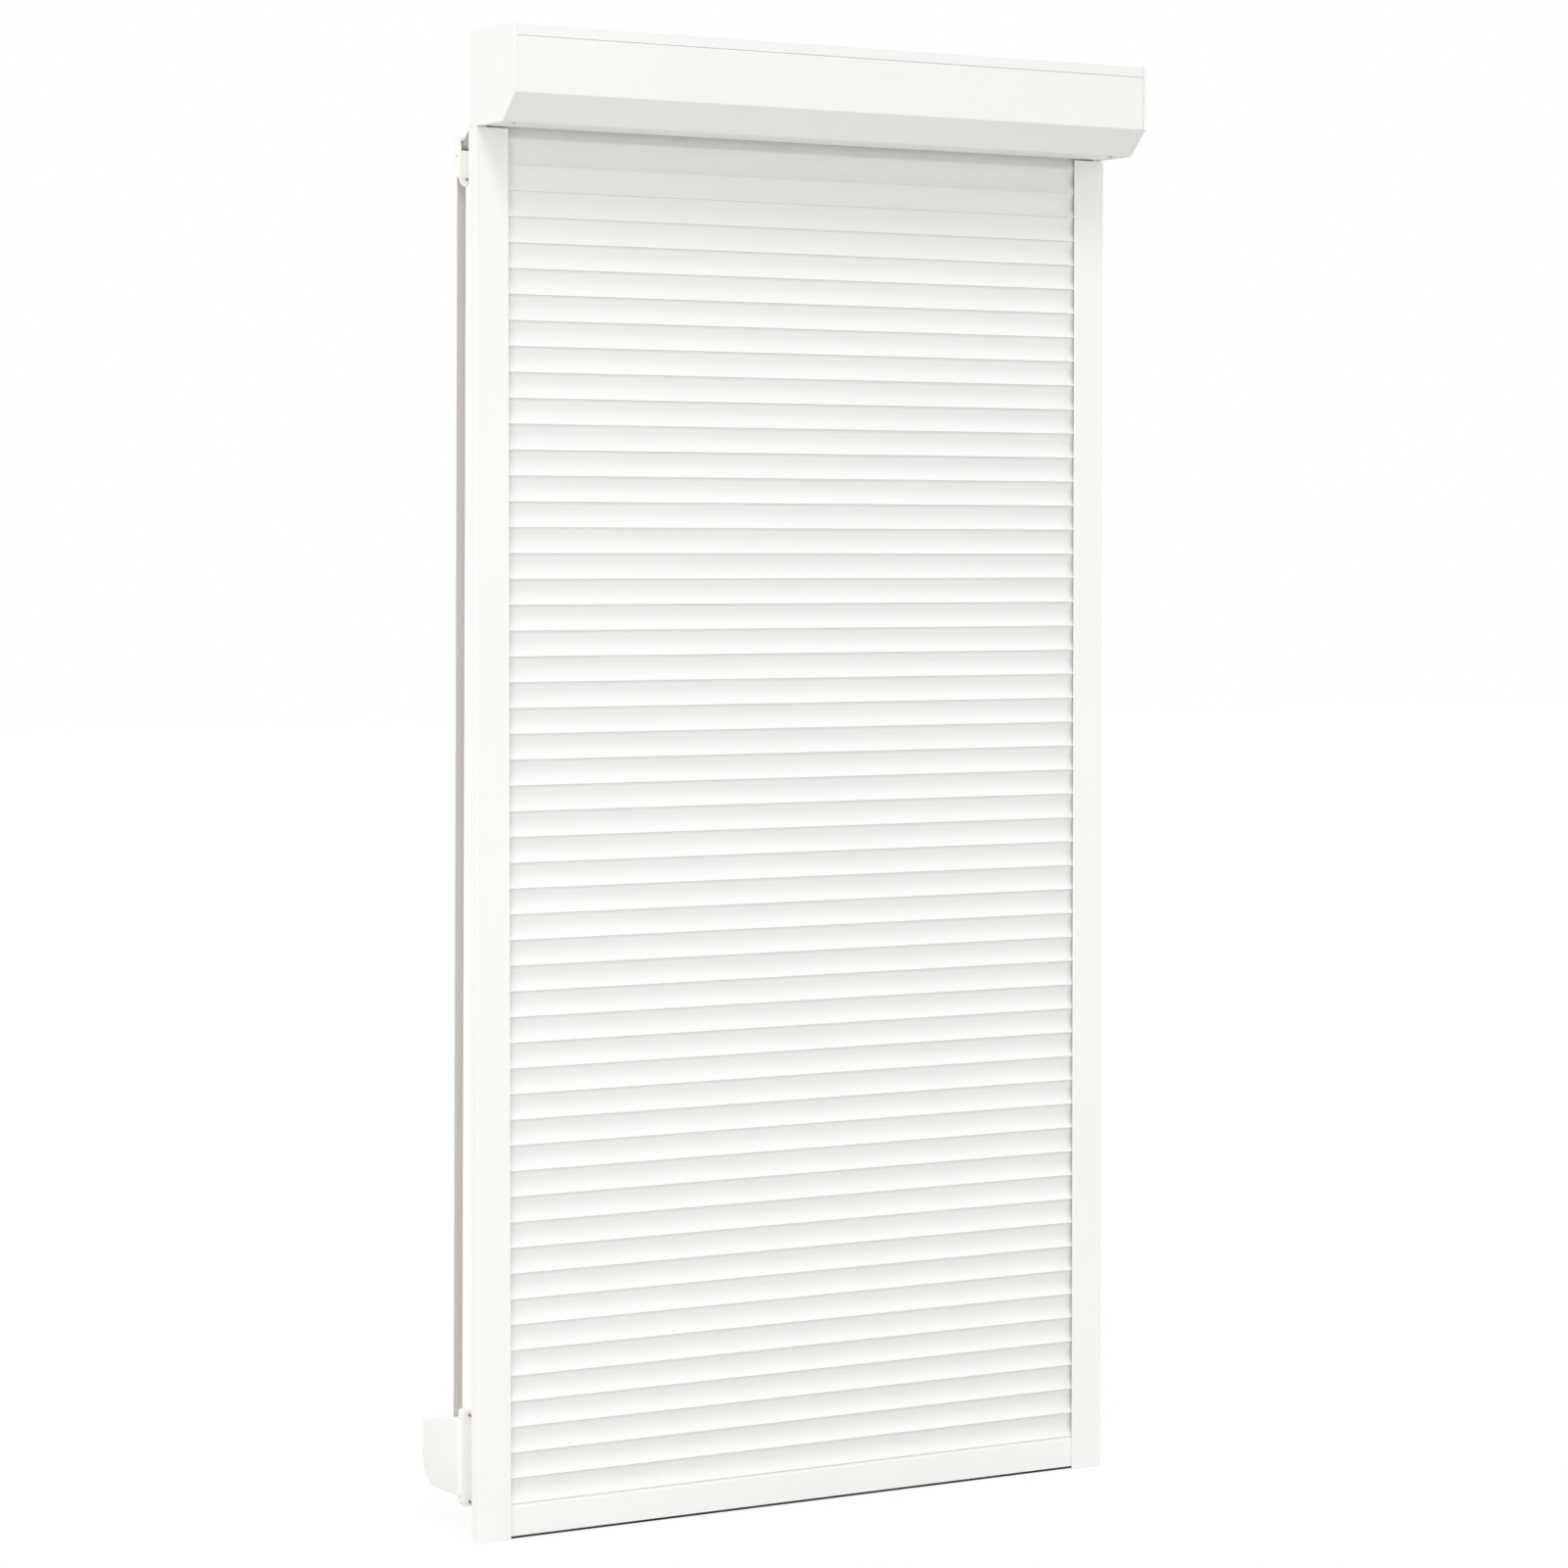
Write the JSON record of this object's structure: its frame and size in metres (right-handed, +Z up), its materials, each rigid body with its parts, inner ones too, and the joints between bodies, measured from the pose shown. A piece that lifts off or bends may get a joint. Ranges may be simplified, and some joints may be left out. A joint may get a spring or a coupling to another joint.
{
  "type": "exterior roller shutter",
  "caption": "White exterior roller shutter with a cut-corner box, guide rails, interlocking slat curtain and bottom bar, worked by a strap that runs to a swivelling winder.",
  "frame": {"origin": "midway between the four rail fixing holes, on the wall plane that the rails' backs lie on", "axes": "+X along the box to the right seen from outside, +Y through the wall into the room, +Z up"},
  "size_m": [1.09, 0.3044, 2.163],
  "materials": {
    "white_coat": "satin white powder coat",
    "cap_white": "satin moulded white",
    "cream_plastic": "fine moulded grain",
    "glide_plastic": "smooth extruded",
    "black_plastic": "moulded",
    "zinc_steel": "zinc plated",
    "brass": "yellow plated",
    "webbing": "woven",
    "seal_rubber": "matt"
  },
  "bodies": {
    "frame": {"box_top_shell": "white_coat", "box_front_cover": "white_coat", "end_cap_left": "cap_white", "end_cap_right": "cap_white", "cover_screws": "zinc_steel", "strap_outlet": "cream_plastic", "guide_rail_left": "white_coat", "guide_rail_right": "white_coat", "front_liner_left": "glide_plastic", "front_liner_right": "glide_plastic", "rear_glide_left": "glide_plastic", "rear_glide_right": "glide_plastic", "inlet_guide_left": "cream_plastic", "inlet_guide_right": "cream_plastic", "rail_foot_plugs": "cream_plastic", "axle_stub_left": "zinc_steel", "axle_stub_right": "zinc_steel", "strap_run": "webbing", "strap_guide": "cream_plastic", "guide_pin": "zinc_steel", "guide_screw": "brass", "winder_base": "cream_plastic", "winder_screws": "brass", "pivot_pins": "zinc_steel"},
    "winding_shaft": {"winding_tube": "zinc_steel", "tube_plug": "black_plastic", "strap_pulley": "black_plastic", "pulley_coil": "webbing", "bearing_left": "zinc_steel", "bearing_right": "zinc_steel", "curtain_hangers": "zinc_steel"},
    "curtain": {"slat_bank_1": "white_coat", "slat_bank_2": "white_coat", "slat_bank_3": "white_coat", "slat_bank_4": "white_coat", "slat_bank_5": "white_coat", "slat_bank_6": "white_coat", "slat_bank_7": "white_coat", "slat_bank_8": "white_coat", "slat_bank_9": "white_coat", "slat_end_clips": "cream_plastic", "bottom_bar": "white_coat", "bar_end_plugs": "cream_plastic", "bottom_seal": "seal_rubber"},
    "roller": {"guide_roller": "cream_plastic"},
    "winder": {"winder_shell_left": "cap_white", "winder_shell_right": "cap_white", "reel_axle": "zinc_steel", "clamp_pin": "zinc_steel"},
    "reel": {"strap_reel": "black_plastic", "reel_coil": "webbing", "reel_spring": "zinc_steel"},
    "clamp": {"strap_clamp": "zinc_steel"}
  },
  "joints": [
    {"name": "curtain_lift", "type": "slide", "parent": "frame", "child": "curtain", "axis": [0, 0, 1], "range_m": [0, 1.96], "deforming": ["slat_bank_1", "slat_bank_2", "slat_bank_3", "slat_bank_4", "slat_bank_5", "slat_bank_6", "slat_bank_7", "slat_bank_8", "slat_bank_9", "slat_end_clips"]},
    {"name": "tube_turn", "type": "hinge", "parent": "frame", "child": "winding_shaft", "pos_m": [0, -0.066, 1.085], "axis": [1, 0, 0], "range_deg": [0, 2520], "deforming": ["curtain_hangers"]},
    {"name": "roller_turn", "type": "hinge", "parent": "frame", "child": "roller", "pos_m": [-0.527, 0.0492, 0.977], "axis": [1, 0, 0], "range_deg": [-18720, 0]},
    {"name": "winder_swivel", "type": "hinge", "parent": "frame", "child": "winder", "pos_m": [-0.527, 0.0584, -0.901], "axis": [0, 0, 1], "range_deg": [-90, 90], "deforming": ["strap_run"]},
    {"name": "reel_turn", "type": "hinge", "parent": "winder", "child": "reel", "pos_m": [-0.527, 0.1064, -0.901], "axis": [1, 0, 0], "range_deg": [0, 3420]},
    {"name": "clamp_turn", "type": "hinge", "parent": "winder", "child": "clamp", "pos_m": [-0.527, 0.0674, -0.861], "axis": [1, 0, 0], "range_deg": [-20, 0], "stiffness_Nm_per_rad": 0.02, "springref_deg": 5.73}
  ],
  "couplings": [
    {"joint": "tube_turn", "follows": "curtain_lift", "rad_per_m": 22.44},
    {"joint": "roller_turn", "follows": "curtain_lift", "rad_per_m": -166.7},
    {"joint": "reel_turn", "follows": "curtain_lift", "rad_per_m": 30.454}
  ]
}
